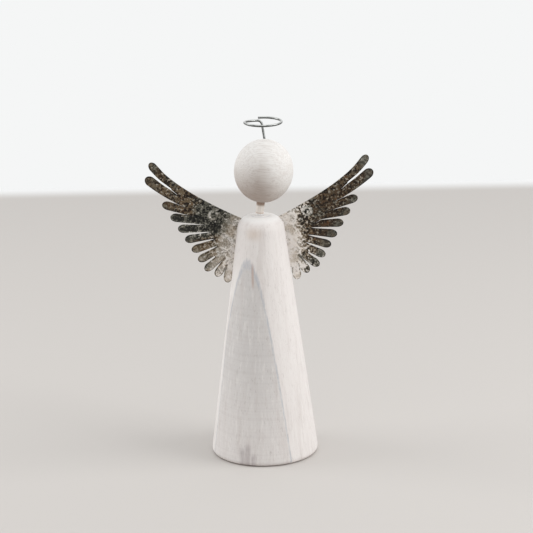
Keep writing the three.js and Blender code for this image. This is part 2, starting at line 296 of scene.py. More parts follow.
def turnedTree():
    inputs = {"Sides": "Int", "Rings": "Int", "Corner steps": "Int", "Unevenness": "Float",
              "Uneven size": "Float", "Finish": "Material"}
    tree, bench, given = nodeTree("turnedPiece", inputs)
    profile = bench.node("GeometryNodeMeshToCurve", {}, {"Mesh": given["Geometry"]})
    rounding = named(bench, "rounding", "FLOAT")
    corners = {"Curve": profile, "Radius": rounding, "Count": given["Corner steps"], "Limit Radius": True}
    rounded = bench.node("GeometryNodeFilletCurve", {"mode": "POLY"}, corners)
    size = {"Size X": 1.0, "Size Y": 1.0, "Vertices X": given["Sides"] + 1, "Vertices Y": given["Rings"]}
    sheet = bench.node("GeometryNodeMeshGrid", {}, size)
    across, along, _ = bench.node("GeometryNodeInputPosition").split()
    angle = (across + 0.5) * math.tau
    sample = {"Curves": rounded, "Factor": along + 0.5}
    onProfile = bench.node("GeometryNodeSampleCurve", {"mode": "FACTOR"}, sample, "Position")
    radius, _, height = onProfile.split()
    cosine = bench.math("COSINE", angle)
    sine = bench.math("SINE", angle)
    spot = bench.joined(radius * cosine, radius * sine, height)
    wander = spot.noise(1 / given["Uneven size"], 1.0)
    worn = radius - wander * given["Unevenness"] * radius.step(0.0, 1 * mm)
    moved = bench.joined(worn * cosine, worn * sine, height)
    swept = bench.node("GeometryNodeSetPosition", {}, {"Geometry": sheet, "Position": moved})
    closed = bench.node("GeometryNodeMergeByDistance", {}, {"Geometry": swept, "Distance": 0.001 * mm})
    endTree(bench, closed, given["Finish"])
    return tree


turnedPiece = turnedTree()


def turn(name, profile, sizes, finish):
    # profile: (radius, height, rounding of that corner) in mm, from the axis round to the axis
    obj = newPath(name, [(r * mm, 0, h * mm) for r, h, _ in profile])
    addNumbers(obj.data, "rounding", [corner * mm for _, _, corner in profile])
    values = {"Sides": sizes["sides"], "Rings": sizes["rings"], "Corner steps": sizes["cornerSteps"],
              "Unevenness": sizes["unevenness"] * mm, "Uneven size": sizes["unevenSize"] * mm,
              "Finish": finish}
    runTree(obj, turnedPiece, values)
    shape = bmesh.new()
    shape.from_mesh(obj.data)
    bmesh.ops.recalc_face_normals(shape, faces=shape.faces)
    shape.to_mesh(obj.data)
    shape.free()
    return obj


def woodGrain(bench, spot, along, grain):
    # fine lines, broad bands, brush marks and pores, all drawn out along one axis
    def layer(name, detail, roughness=0.5):
        squeeze, scale = grain[name]
        parts = list(spot)
        parts[along] = parts[along] * squeeze
        return bench.joined(*parts).noise(scale, detail, roughness)
    fine = layer("fine", 4.0, 0.62)
    broad = layer("broad", 2.0)
    brush = layer("brush", 3.0, 0.6)
    pores = layer("pores", 1.0).step(*grain["poreStep"])
    return fine, broad, brush, pores


# Body: a cone turned from glued staves, a grey one at the front left, with painted rim light on the strip at
# its side

bodyCone = {
    "height": 125.5, "baseRadius": 27.6, "topRadius": 11.1, "footRounding": 2.2, "shoulderRounding": 7.0,
    "socketRadius": 2.4, "socketDepth": 15.3, "pilotRadius": 0.9, "pilotDepth": 9.3,
    "sides": 240, "rings": 280, "cornerSteps": 14, "unevenness": 0.1, "unevenSize": 12.0,
}
bodyMarks = {
    "staveAzimuth": -30.2,      # way that the grey stave faces, in degrees from the front
    "staveDepth": 13.85,        # its glued face, in mm from the axis
    "stripAzimuth": -73.0,      # seam between the grey stave and the strip at the left edge, which carries painted rim light
    # where a mark ends and where it is full, in mm
    "greyFade": (60.0, 0.0), "greyLoss": 0.6, "rimLightSide": (-5.0, -10.0), "rimLightTop": (105.0, 85.0),
    "footLine": (0.75, 0.2), "paintedTopLight": (122.5, 125.0), "topFace": (124.5, 125.0), "stainReach": (2.1, 0.5),
    # the middle of a mark, then both from there
    "seam": (0.1, 0.55, 0.1), "turning": (4.6, 0.6, 0.15),
    "tanX": (-2.7, 6.0, 0.0), "tanZ": (119.5, 5.0, 0.0),
    "streakX": (-4.1, 0.9, 0.2), "streakZ": (97.5, 8.0, 3.0),
    "stains": (-11.6, -9.0, -6.0), "stainTops": (11.0, 13.0, 8.0), "stainFade": 4.0, "bump": 0.12,
}
bodyGrain = {   # squeeze along the grain, and scale per mm
    "fine": (0.045, 1.5), "broad": (0.02, 0.28), "brush": (0.12, 0.6), "pores": (0.09, 2.6),
    "poreStep": (0.64, 0.74),
}
bodyColours = {
    "light": srgb(233, 228, 225), "grey": srgb(212, 209, 207), "grain": srgb(196, 186, 181),
    "pore": srgb(158, 147, 142), "stain": srgb(158, 147, 149), "footBrown": srgb(140, 100, 68),
    # strip: painted rim light along the left edge
    "strip": (srgb(241, 238, 235), 0.75), "brush": (srgb(241, 238, 235), 0.4),
    "glue": (srgb(184, 188, 196), 0.65), "lathe": (srgb(158, 147, 142), 0.07),
    "tan": (srgb(214, 196, 180), 0.5), "streak": (srgb(186, 158, 146), 0.6),
    "paintedTopLight": (srgb(248, 247, 245), 0.9), "turning": (srgb(206, 209, 216), 0.6),
}


def depthInStave(bench, spot, marks):
    # depth in mm inside the grey stave, below 0 outside it
    azimuth, strip = math.radians(marks["staveAzimuth"]), math.radians(marks["stripAzimuth"])
    fromGlue = spot.along((math.sin(azimuth), -math.cos(azimuth), 0)) - marks["staveDepth"]
    fromStrip = spot.along((math.cos(strip), math.sin(strip), 0))
    return bench.math("MINIMUM", fromGlue, fromStrip)


def bodyFinish(marks, colours):
    finish, bench = newFinish("whitewashedBody")
    spot = objectSpot(bench)
    x, y, z = spot.split()
    front = y.step(0.0, -2.0)
    wander = bench.joined(x * 0.05, y * 0.05, z * 0.02).noise(1.0, 2.0, out="Color")
    sway = {0: wander, 1: (3, 3, 0), 2: spot}
    bent = bench.node("ShaderNodeVectorMath", {"operation": "MULTIPLY_ADD"}, sway)
    fine, broad, brush, pores = woodGrain(bench, bent.split(), 2, bodyGrain)
    lathe = bench.joined(0.0, 0.0, z).noise(0.55, 2.0, 0.6)
    depth = depthInStave(bench, spot, marks)
    inGrey = depth.step(-0.2, 0.25)
    seam = depth.near(*marks["seam"]) * fine.step(0.3, 0.6)
    # the staves under their wash
    greyed = inGrey * (1 - z.step(*marks["greyFade"]) * marks["greyLoss"])
    wood = greyed.mix(colours["light"], colours["grey"])
    # painted rim light: the strip along the left edge, beyond the seam, is painted lighter
    leftRimLight = (1 - inGrey) * x.step(*marks["rimLightSide"]) * z.step(*marks["rimLightTop"]) * front
    wood = leftRimLight.cover(wood, colours["strip"])
    wood = (fine.step(0.5, 0.8) * 0.4 + broad.step(0.45, 0.8) * 0.3).mix(wood, colours["grain"])
    wood = brush.step(0.5, 0.75).cover(wood, colours["brush"])
    wood = (pores * (0.2 + 0.1 * inGrey)).mix(wood, colours["pore"])
    wood = seam.cover(wood, colours["glue"])
    wood = (lathe.step(0.46, 0.62) * inGrey).cover(wood, colours["lathe"])
    # a worn patch below the top, a streak, and stains that rise from the foot
    tan = (x + brush * 2).near(*marks["tanX"]) * (z + brush * 2).near(*marks["tanZ"]) * front
    wood = tan.cover(wood, colours["tan"])
    streak = (x + wander.split()[0]).near(*marks["streakX"]) * z.near(*marks["streakZ"]) * front
    wood = streak.cover(wood, colours["streak"])
    stain = 0.0
    for middle, top in zip(marks["stains"], marks["stainTops"]):
        band = (x + (brush - 0.5) * 2).near(middle, *marks["stainReach"])
        stain = bench.math("MAXIMUM", band * z.step(top, top - marks["stainFade"]) * front, stain)
    wood = (stain * (0.1 + fine * 0.7)).mix(wood, colours["stain"])
    # painted light on the top, the trace of a turning tool, and a brown line at the foot
    # painted light: the top face and the shoulder just below it are painted whiter
    wood = z.step(*marks["paintedTopLight"]).cover(wood, colours["paintedTopLight"])
    ring = bench.length(x, y).near(*marks["turning"]) * z.step(*marks["topFace"]) * front
    wood = ring.cover(wood, colours["turning"])
    # a brown line along the foot, at the bottom edge
    wood = (z.step(*marks["footLine"]) * (0.5 + fine * 0.5)).mix(wood, colours["footBrown"])
    height = fine * 0.6 + brush * 0.5 - pores * 0.5 - seam * 0.6 + lathe * 0.25
    normal = bumped(bench, height, marks["bump"])
    return endFinish(finish, {"Base Color": wood, "Roughness": 0.62 + fine * 0.2, "Normal": normal})


def makeBody(sizes):
    profile = [(0, 0, 0), (sizes["baseRadius"], 0, sizes["footRounding"]),
               (sizes["topRadius"], sizes["height"], sizes["shoulderRounding"]), (0, sizes["height"], 0)]
    return turn("turned_body", profile, sizes, bodyFinish(bodyMarks, bodyColours))


body = makeBody(bodyCone)

# Neck and head: the head is turned about the axis of the leaning neck, and bored along it

neckDowel = {
    "radius": 2.1, "chamfer": 0.5, "inBody": 15.0, "shown": 7.05,
    "bare": (2.4, 0.9),             # bare wood and painted shade under the head, in mm below the head
    "pool": (1.4, 1.0),             # pooled wash, in mm above the body
    "poolEdge": (1.5, 0.5, 0.1),    # line along its edge
    "sides": 48, "rings": 160, "cornerSteps": 2, "unevenness": 0.06, "unevenSize": 4.0, "bump": 0.1,
}
neckColours = {
    "light": srgb(240, 235, 229), "grain": srgb(212, 200, 188), "bare": (srgb(140, 112, 92), 0.85),
    "poolEdge": (srgb(190, 160, 138), 0.5), "pool": (srgb(240, 238, 236), 0.9),
}
ballHead = {
    "width": 30.0, "height": 32.2, "socketRadius": 2.4, "socketDepth": 11.3, "outlineSteps": 60,
    "bareMiddle": -2.5, "bareReach": (16.0, -12.0),     # bare wood and painted shade at the underside, in mm from the centre
    "sides": 200, "rings": 220, "cornerSteps": 2, "unevenness": 0.12, "unevenSize": 9.0, "bump": 0.08,
}
headGrain = {
    "fine": (0.06, 1.5), "broad": (0.05, 0.3), "brush": (0.12, 0.7), "pores": (0.12, 2.6),
    "poreStep": (0.64, 0.76),
}
headColours = {
    "light": srgb(234, 232, 229), "bare": srgb(158, 140, 128),
    "grain": (srgb(190, 181, 174), 0.45), "bands": (srgb(206, 197, 190), 0.35),
    "brush": (srgb(238, 237, 235), 0.35), "pore": (srgb(150, 138, 128), 0.3),
}


def neckAxis():
    # middle, direction and half length of the dowel, from its CAD node
    points = np.array([v.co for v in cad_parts["neck_dowel"].data.vertices])
    middle = (points.min(0) + points.max(0)) / 2
    way = np.linalg.svd(points - points.mean(0), full_matrices=False)[2][0]
    way = way if way[2] > 0 else -way
    reach = (points - middle) @ way
    return Vector(middle), Vector(way), (reach.max() - reach.min()) / 2


def spotOnAxis(bench, middle, way):
    # object coordinates in mm, measured from the middle of a piece and turned upright with it
    spot = bench.node("ShaderNodeTexCoord", {}, {}, "Object")
    upright = way.rotation_difference(upward).to_euler()
    turned = {"Vector": bench.vector("SUBTRACT", spot, middle), "Rotation": upright}
    return bench.node("ShaderNodeVectorRotate", {"rotation_type": "EULER_XYZ"}, turned).scaled(1 / mm)


def headFinish(sizes, colours, middle, way):
    finish, bench = newFinish("whitewashedBall")
    x, y, z = spotOnAxis(bench, middle, way).split()
    fine, broad, brush, pores = woodGrain(bench, (x, y, z), 0, headGrain)
    # painted shade and bare wood below, darker towards the underside, reaching highest a little left of the
    # middle
    aside = abs(x - sizes["bareMiddle"]) * 0.6 + bench.math("MAXIMUM", x, 0.0) * 0.5
    # under: painted shade on the underside of the ball, partly bare wood
    under = (z + aside + (broad - 0.5) * 10).step(*sizes["bareReach"])
    wood = fine.step(0.4, 0.75).cover(colours["light"], colours["grain"])
    wood = broad.step(0.45, 0.8).cover(wood, colours["bands"])
    wood = brush.step(0.5, 0.75).cover(wood, colours["brush"])
    wood = (under * (0.64 + fine * 0.32)).mix(wood, colours["bare"])
    wood = pores.cover(wood, colours["pore"])
    normal = bumped(bench, fine * 0.6 + brush * 0.5 - pores * 0.5, sizes["bump"])
    return endFinish(finish, {"Base Color": wood, "Roughness": 0.62 + fine * 0.2, "Normal": normal})


def neckFinish(sizes, colours, middle, way, half):
    # wash that has pooled at the foot, and brown under the head: bare wood and painted shade from the head
    finish, bench = newFinish("whitewashedDowel")
    x, y, z = spotOnAxis(bench, middle, way).split()
    shown = z + half / mm - sizes["inBody"]
    bareFrom, bareFull = (sizes["shown"] - below for below in sizes["bare"])
    fine = bench.joined(x, y, z * 0.08).noise(2.2, 4.0, 0.62)
    wood = fine.step(0.35, 0.75).mix(colours["light"], colours["grain"])
    # painted shade under the head, partly bare wood
    wood = shown.step(bareFrom, bareFull).cover(wood, colours["bare"])
    wood = shown.near(*sizes["poolEdge"]).cover(wood, colours["poolEdge"])
    wood = shown.step(*sizes["pool"]).cover(wood, colours["pool"])
    normal = bumped(bench, fine, sizes["bump"])
    return endFinish(finish, {"Base Color": wood, "Roughness": 0.7 + fine * 0.1, "Normal": normal})


def makeNeck(sizes, middle, way, half):
    r, c, length = sizes["radius"], sizes["chamfer"], 2 * half / mm
    profile = [(0, 0, 0), (r - c, 0, 0), (r, c, 0), (r, length - c, 0), (r - c, length, 0), (0, length, 0)]
    neck = turn("dowel_neck", profile, sizes, neckFinish(sizes, neckColours, middle, way, half))
    neck.data.transform(Matrix.Translation(middle - way * half) @ tilted(way))
    smoothFaces(neck)
    place(neck, ["neck_dowel"])


def makeHead(sizes, way):
    low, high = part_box("head")
    centre = (low + high) / 2
    wide, tall = sizes["width"] / 2, sizes["height"] / 2
    bored, steps = sizes["socketRadius"], sizes["outlineSteps"]
    first = math.asin(bored / wide) - math.pi / 2
    angles = [first + (math.pi / 2 - first) * i / steps for i in range(steps)]
    roof = sizes["socketDepth"] - tall
    outline = [(0, roof, 0), (bored, roof, 0), *((wide * math.cos(a), tall * math.sin(a), 0) for a in angles)]
    head = turn("ball_head", outline + [(0, tall, 0)], sizes, headFinish(sizes, headColours, centre, way))
    head.data.transform(Matrix.Translation(centre) @ tilted(way))
    return head, centre


neckMiddle, neckWay, neckHalf = neckAxis()
makeNeck(neckDowel, neckMiddle, neckWay, neckHalf)
head, headCentre = makeHead(ballHead, neckWay)

# Halo: one wire along a path, up from the crown, over a bend and once round

haloWire = {
    "wireRadius": 0.6, "holeRadius": 0.92, "holeGap": 0.3, "radius": 9.25, "height": 10.1, "inHead": 9.0,
    "holeSide": -1.0, "holeBack": 4.0, "centreSide": -0.6, "centreForward": 6.0,
    "startAngle": 95.0, "overlap": 10.0, "rise": 110.0, "turnPitch": 1.49, "startDip": 1.3, "bend": 2.4,
    "stemPoints": 24, "bendPoints": 12, "ringPoints": 160, "sides": 20, "bump": 0.04,
}
# the colour under the wire is painted shade, and the colour along its top is a painted highlight
wireColours = {"below": srgb(96, 98, 96), "paintedTopHighlight": srgb(206, 207, 205), "spots": (srgb(74, 76, 74), 0.4)}


def haloRing(sizes, angle):
    def eased(value, low, high):
        share = min(1, max(0, (value - low) / (high - low)))
        return share * share * (3 - 2 * share)
    overlap, rise = math.radians(sizes["overlap"]), math.radians(sizes["rise"])
    last = math.tau + overlap
    dip = sizes["startDip"] * (1 - eased(angle, 0, rise))
    over = eased(angle, last - rise, last - overlap)
    around = math.radians(sizes["startAngle"]) + angle
    return Vector((sizes["centreSide"] + sizes["radius"] * math.cos(around),
                   -sizes["centreForward"] + sizes["radius"] * math.sin(around),
                   sizes["height"] - dip + (sizes["turnPitch"] - sizes["startDip"]) * over))


def haloPath(sizes):
    # stem, then a bend that leaves the stem and joins the ring smoothly, then the ring
    corner = haloRing(sizes, 0)
    stemWay = corner.normalized()
    stemEnd = corner.length - sizes["bend"]
    bendAngle = sizes["bend"] / sizes["radius"]
    bendFrom, bendTo = stemWay * stemEnd, haloRing(sizes, bendAngle)
    last = math.tau + math.radians(sizes["overlap"])
    points = []
    for i in range(sizes["stemPoints"]):
        share = i / sizes["stemPoints"]
        points.append(stemWay * (-sizes["inHead"] + share * (sizes["inHead"] + stemEnd)))
    for i in range(sizes["bendPoints"]):
        share = i / sizes["bendPoints"]
        points.append(bendFrom * (1 - share) ** 2 + corner * 2 * share * (1 - share) + bendTo * share ** 2)
    for i in range(sizes["ringPoints"] + 1):
        points.append(haloRing(sizes, bendAngle + (last - bendAngle) * i / sizes["ringPoints"]))
    return points


def wireTree():
    inputs = {"Radius": "Float", "Sides": "Int", "Finish": "Material"}
    tree, bench, given = nodeTree("bentWire", inputs)
    path = bench.node("GeometryNodeMeshToCurve", {}, {"Mesh": given["Geometry"]})
    circle = {"Resolution": given["Sides"], "Radius": given["Radius"]}
    section = bench.node("GeometryNodeCurvePrimitiveCircle", {}, circle)
    sweep = {"Curve": path, "Profile Curve": section, "Fill Caps": True}
    endTree(bench, bench.node("GeometryNodeCurveToMesh", {}, sweep), given["Finish"])
    return tree


def wireFinish(sizes, colours):
    # drawn steel: painted shade below and a painted highlight along the top, by how far each spot faces up
    finish, bench = newFinish("brightWire")
    spot = objectSpot(bench)
    up = attribute(bench, "up")
    spots = spot.noise(2.5, 3.0, 0.6)
    dull = spot.noise(0.45, 2.0)
    # painted highlight along the top and painted shade below, by how far each spot faces up
    steel = (up + (dull - 0.5) * 0.8).step(0.1, 1.0).mix(colours["below"], colours["paintedTopHighlight"])
    steel = spots.step(0.5, 0.75).cover(steel, colours["spots"])
    normal = bumped(bench, spots, sizes["bump"])
    sockets = {"Base Color": steel, "Metallic": 1.0, "Roughness": 0.18 + dull * 0.2, "Normal": normal}
    return endFinish(finish, sockets)


def makeHalo(sizes, centre, way):
    # returns the wire's hole in the head
    out = math.hypot(sizes["holeSide"], sizes["holeBack"]) / (ballHead["width"] / 2)
    crown = ballHead["height"] / 2 * math.sqrt(1 - out ** 2)
    mouth = centre + tilted(way).to_3x3() @ Vector((sizes["holeSide"], sizes["holeBack"], crown)) * mm
    halo = newPath("halo_wire", [mouth + p * mm for p in haloPath(sizes)])
    finish = wireFinish(sizes, wireColours)
    runTree(halo, wireTree(), {"Radius": sizes["wireRadius"] * mm, "Sides": sizes["sides"], "Finish": finish})
    smoothFaces(halo)
    # how far each spot faces up, for the painted highlight and shade
    addNumbers(halo.data, "up", [v.normal.z for v in halo.data.vertices])
    place(halo, ["halo"])
    down = -haloRing(sizes, 0).normalized()
    depth = sizes["inHead"] + sizes["holeGap"]
    return mouth, down, sizes["holeRadius"] * mm, depth * mm, sizes["bend"] * mm


bore(head, [makeHalo(haloWire, headCentre, neckWay)])
smoothFaces(head)
place(head, ["head"])

# Wings: flat sheets cut into feathers, with a pressed boss, hammered dents and fine slits between feathers

wingSheet = {
    "thickness": 0.8, "rim": 0.16, "grid": 0.42, "outlineStep": 0.35, "cutBack": 0.03,
    "slitLength": 3.0, "slitWidth": 0.28, "slitEnd": 0.1, "slotWidest": 1.6,
    "slotCorner": 20, "slotBend": 120, "sharpCorner": 40, "sharpEdge": 60,      # in degrees
    "bossRadius": 2.7, "bossRise": 0.55, "dentSize": 1.9, "dentDepth": 0.07,
    "waveSize": 14.0, "waveHeight": 0.3,
}


def sheetFrame(node, tolerance=0.002 * mm):
    # a wing's flat front: its axes, its outline in mm from the boss, and where its nails go
    shape = bmesh.new()
    shape.from_mesh(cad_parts[node].data)
    bmesh.ops.remove_doubles(shape, verts=shape.verts, dist=tolerance)
    facing = max((f for f in shape.faces if f.normal.y < 0), key=lambda f: f.calc_area()).normal.copy()
    level = max(facing.dot(v.co) for f in shape.faces if f.normal.dot(facing) > 0.9999 for v in f.verts)
    front = {f for f in shape.faces if all(abs(facing.dot(v.co) - level) < tolerance for v in f.verts)}
    following = {}
    for face in front:
        for corner in face.loops:
            if not front.issuperset(corner.edge.link_faces):
                following[corner.vert] = corner.link_loop_next.vert
    loops = []
    while following:
        vert, walk = next(iter(following)), []
        while vert in following:
            walk.append(tuple(vert.co))
            vert = following.pop(vert)
        loops.append(np.array(walk))
    shape.free()
    # the longest loop is the outline, the next one goes round the boss, and the others are nail holes
    loops.sort(key=lambda loop: np.ptp(loop, axis=0).sum(), reverse=True)
    boss = loops[1].mean(0)
    facing = np.array(facing)
    across = unit(np.cross(facing, (0, 0, -1)))
    axes = np.array([across, np.cross(facing, across), facing])
    outline = (loops[0] - boss) @ axes[:2].T / mm
    nails = [loop.mean(0) for loop in loops[2:]]
    return {"axes": axes, "boss": boss, "outline": outline, "nails": nails, "side": np.sign(boss[0])}


def unit(vectors):
    return vectors / np.linalg.norm(vectors, axis=-1, keepdims=True)


def cornersOf(outline):
    # bend at each corner in degrees, and the ways before and after it
    before = outline - np.roll(outline, 1, axis=0)
    after = np.roll(outline, -1, axis=0) - outline
    cross = before[:, 0] * after[:, 1] - before[:, 1] * after[:, 0]
    return np.degrees(np.arctan2(cross, (before * after).sum(1))), unit(before), unit(after)


def leftOf(outline):
    _, before, after = cornersOf(outline)
    way = unit(before + after + 1e-9)
    return np.column_stack((-way[:, 1], way[:, 0]))


def slotEnd(outline, bends, first, sizes):
    # last corner of the slot's inner end that starts at a corner, or None
    bent, passed = 0, 0
    for i in range(first, len(outline)):
        passed += np.linalg.norm(outline[i] - outline[i - 1]) if i > first else 0
        bent += bends[i]
        if bends[i] > sizes["slotCorner"] or passed > sizes["slotWidest"]:
            return None
        if bent < -sizes["slotBend"]:
            return i
    return None


def withSlits(outline, sizes):
    # the inner end of each slot between two feathers, sharp or blunt, runs on as a fine slit
    outline = np.roll(outline, -int(np.abs(cornersOf(outline)[0]).argmin()), axis=0)
    bends, before, after = cornersOf(outline)
    points, i = [], 0
    while i < len(outline):
        last = slotEnd(outline, bends, i, sizes) if bends[i] < -sizes["slotCorner"] else None
        if last is None:
            points.append(outline[i])
            i += 1
            continue
        inward, outward = before[i], after[last]
        way = unit(inward - outward)
        aside = np.array((-way[1], way[0])) * sizes["slitEnd"] / 2
        end = (outline[i] + outline[last]) / 2 + way * sizes["slitLength"]
        spread = math.acos(np.clip(-inward @ outward, -1, 1)) / 2
        back = 0 if last > i else min(sizes["slitWidth"] / 2 / math.sin(spread), sizes["slitLength"] / 2)
        points += [outline[i] - inward * back, end + aside, end - aside, outline[last] + outward * back]
        i = last + 1
    return np.array(points)


def smoothOutline(outline, sizes):
    # rounds the facets between sharp corners, and spaces the points evenly
    sharp = np.abs(cornersOf(outline)[0]) > sizes["sharpCorner"]
    count = len(outline)
    points = []
    for i in range(count):
        p1, p2 = outline[i], outline[(i + 1) % count]
        p0 = 2 * p1 - p2 if sharp[i] else outline[i - 1]
        p3 = 2 * p2 - p1 if sharp[(i + 1) % count] else outline[(i + 2) % count]
        span = np.linalg.norm(p2 - p1)
        tangent1 = (p2 - p0) / (np.linalg.norm(p1 - p0) + span) * span
        tangent2 = (p3 - p1) / (np.linalg.norm(p3 - p2) + span) * span
        steps = max(1, round(span / sizes["outlineStep"]))
        for t in np.arange(steps) / steps:
            points.append((2 * t**3 - 3 * t**2 + 1) * p1 + (t**3 - 2 * t**2 + t) * tangent1
                          + (3 * t**2 - 2 * t**3) * p2 + (t**3 - t**2) * tangent2)
    return np.array(points)


def edgeDistance(points, outline, parts=5):
    # distance from the cut edge, which is taken as closely spaced points
    shares = np.arange(parts)[:, None, None] / parts
    dense = (outline + (np.roll(outline, -1, axis=0) - outline) * shares).reshape(-1, 2)
    tree = KDTree(len(dense))
    for i, spot in enumerate(dense):
        tree.insert((*spot, 0), i)
    tree.balance()
    return np.array([tree.find((*spot, 0))[2] for spot in points])


def sheetPoints(outline, sizes):
    # points of the flat sheet: its edge, rows along the edge, and an even field of triangles inside
    rim, step = sizes["rim"], sizes["grid"]
    inward = leftOf(outline)
    rows = []
    for inset in (rim * 0.4, rim, rim + step * 0.7):
        row = outline + inward * inset
        rows.append(row[edgeDistance(row, outline) > inset * 0.8])
    low, high = outline.min(0), outline.max(0)
    u, v = np.meshgrid(np.arange(low[0], high[0], step), np.arange(low[1], high[1], step * 0.866))
    u[1::2] += step / 2
    field = np.column_stack((u.ravel(), v.ravel()))
    rows.append(field[edgeDistance(field, outline) > rim + step * 1.2])
    return np.vstack([outline, *rows])


def cutSheet(name, wing, sizes):
    outline = smoothOutline(withSlits(wing["outline"], sizes), sizes)
    outline += leftOf(outline) * sizes["cutBack"]
    points = [Vector(p) for p in sheetPoints(outline, sizes)]
    insideOnly, tolerance = 1, 1e-6
    spots, _, triangles, *_ = delaunay_2d_cdt(points, [], [list(range(len(outline)))], insideOnly, tolerance)
    used, faces = np.unique(np.array(triangles), return_inverse=True)
    faces = faces.reshape(-1, 3)
    flat = np.array([tuple(p) for p in spots])[used]
    inside = edgeDistance(flat, outline)
    share = 1 - np.minimum(inside / sizes["rim"], 1)
    drop = sizes["rim"] * (1 - np.sqrt(1 - share ** 2))
    across, up, facing = wing["axes"]
    plane = wing["boss"] + (flat[:, :1] * across + flat[:, 1:] * up) * mm
    front = plane - facing * drop[:, None] * mm
    back = plane - facing * (sizes["thickness"] - drop)[:, None] * mm
    count = len(flat)
    edges = {(int(f[i]), int(f[i - 2])) for f in faces for i in range(3)}
    walls = [(j, i, i + count, j + count) for i, j in edges if (j, i) not in edges]
    behind = (faces[:, ::-1] + count).tolist()
    sheet = newPiece(name, np.vstack([front, back]), (), faces.tolist() + behind + walls)
    # mm outward and up from the boss, then 0 on the front and 1 on the back
    local = np.column_stack((flat[:, 0] * wing["side"], flat[:, 1], np.zeros(count)))
    addNumbers(sheet.data, "sheet", np.vstack([local, local + (0, 0, 1)]), "FLOAT_VECTOR")
    addNumbers(sheet.data, "edge", np.concatenate([inside, inside]))
    return sheet


def hammerTree():
    numbers = ("Dent size", "Dent depth", "Boss radius", "Boss rise", "Wave size", "Wave height", "Seed")
    inputs = {"Facing": "Vector", **dict.fromkeys(numbers, "Float"), "Finish": "Material"}
    tree, bench, given = nodeTree("hammeredSheet", inputs)
    u, v, _ = named(bench, "sheet", "FLOAT_VECTOR").split()
    seeded = bench.joined(u, v, given["Seed"])
    cells = {"Vector": seeded, "Scale": 1 / given["Dent size"]}
    cell = bench.node("ShaderNodeTexVoronoi", {"feature": "SMOOTH_F1"}, cells, "Distance")
    wave = seeded.noise(1 / given["Wave size"], 1.0)
    # out is measured in radii of the boss, which has a groove round it
    out = bench.length(u, v) / given["Boss radius"]
    dome = bench.math("SQRT", bench.math("MAXIMUM", 1 - out * out, 0.0))
    groove = out.near(1.12, 0.16, 0.0) * -0.12
    lift = (dome + groove) * given["Boss rise"] + (cell - 0.5) * given["Dent depth"] * out.step(1.2, 1.8)
    lift = lift + (wave - 0.5) * given["Wave height"] * out.step(1.0, 9.0)
    offset = given["Facing"].scaled(lift * mm)
    hammered = bench.node("GeometryNodeSetPosition", {}, {"Geometry": given["Geometry"], "Offset": offset})
    endTree(bench, hammered, given["Finish"])
    return tree


# Patina and painted light, of each feather from the lowest to the leading one: tone, 0 black to 1 bare
# silver, and warmth,
# 0 greenish grey to 1 brown. The root is the pale part near the body, up to a sloping line: pale patina with
# a painted reflection of the white body on it
leftPatinaAndPaintedLight = {
    "tones": (1.60, 0.66, 0.56, 0.62, 0.52, 0.53, 0.43, 0.42, 0.42, 0.41, 0.45),
    "warmth": (0.6, 0.6, 0.6, 0.7, 0.9, 0.2, 0.15, 0.1, 0.95, 0.75, 0.6),
    "root": 0.84, "rootSlope": 0.29, "rootReach": -7.6, "rim": -0.14, "swirlHighlight": 0.3,
    "dark": 0.95, "flecks": 0.32, "speckle": 0.3, "boss": 0.80, "bossCool": 1.0,
    "tipCool": 0.25, "tipLift": 0.03, "seed": 5.0,
}
rightPatinaAndPaintedLight = {
    "tones": (0.60, 0.21, 0.42, 0.48, 0.27, 0.24, 0.24, 0.25, 0.28, 0.25, 0.43),
    "warmth": (0.6, 0.5, 0.7, 0.8, 0.9, 0.9, 0.8, 0.8, 0.8, 0.95, 0.7),
    "root": 1.25, "rootSlope": 0.09, "rootReach": -5.0, "rim": -0.12, "swirlHighlight": 0.6,
    "dark": 0.88, "flecks": 0.38, "speckle": 0.85, "boss": 0.86, "bossCool": 0.2,
    "tipCool": 0.65, "tipLift": 0.13, "seed": 11.0,
}
bothPatinasAndPaintedLight = {
    "backTone": 0.42, "backCalm": 0.65, "backRoot": 0.8, "rootHold": 0.84, "rootWarmth": 0.45, "grain": 0.9,
    "upperRim": -0.08, "rootRim": -0.3, "tipRim": -0.14, "greyRim": 0.3, "bossCentreHighlight": 0.25, "bossFlecks": 0.15,
    # where a mark ends and where it is full, in mm or, on the boss, in its radii
    "rootEdge": (4.0, -5.0), "tip": (-2.0, 2.0), "lower": (-2.0, -12.0), "edge": (0.7, 0.2),
    "tipEdge": (0.6, 0.2), "greyEdge": (1.2, 0.5), "bossEnd": (1.3, 1.0), "bossCentreHighlightEnd": (0.35, 0.1),
    "bossCoolEnd": (5.5, 1.5),
    # the middle of a mark, then both from there
    "speckleBand": (2.5, 7.0, 1.0), "bossHighlightRing": (0.7, 0.4, 0.1),
    "metallic": 0.5, "bump": 0.12,
}
sheetColours = {
    "cool": ((0.0, srgb(14, 14, 12)), (0.2, srgb(50, 50, 44)), (0.5, srgb(118, 117, 106)),
             (0.75, srgb(182, 178, 170)), (1.0, srgb(249, 246, 243))),
    "warm": ((0.0, srgb(24, 15, 8)), (0.2, srgb(62, 44, 26)), (0.5, srgb(124, 108, 84)),
             (0.75, srgb(184, 173, 158)), (1.0, srgb(249, 243, 236))),
    "rust": (srgb(122, 78, 42), 0.45), "smudge": (srgb(192, 178, 158), 0.42),
}
featherAngles = (-80, -66, -52, -39, -24, -11, 2, 13, 22, 33, 41)       # of the tips, from the fan's middle
featherReach = (28, 27, 27, 26, 25, 26, 30, 34, 41, 54, 56)             # of the tips, from there, in mm
fanMiddle = (-12.4, -7.3)                                               # from the boss, in mm


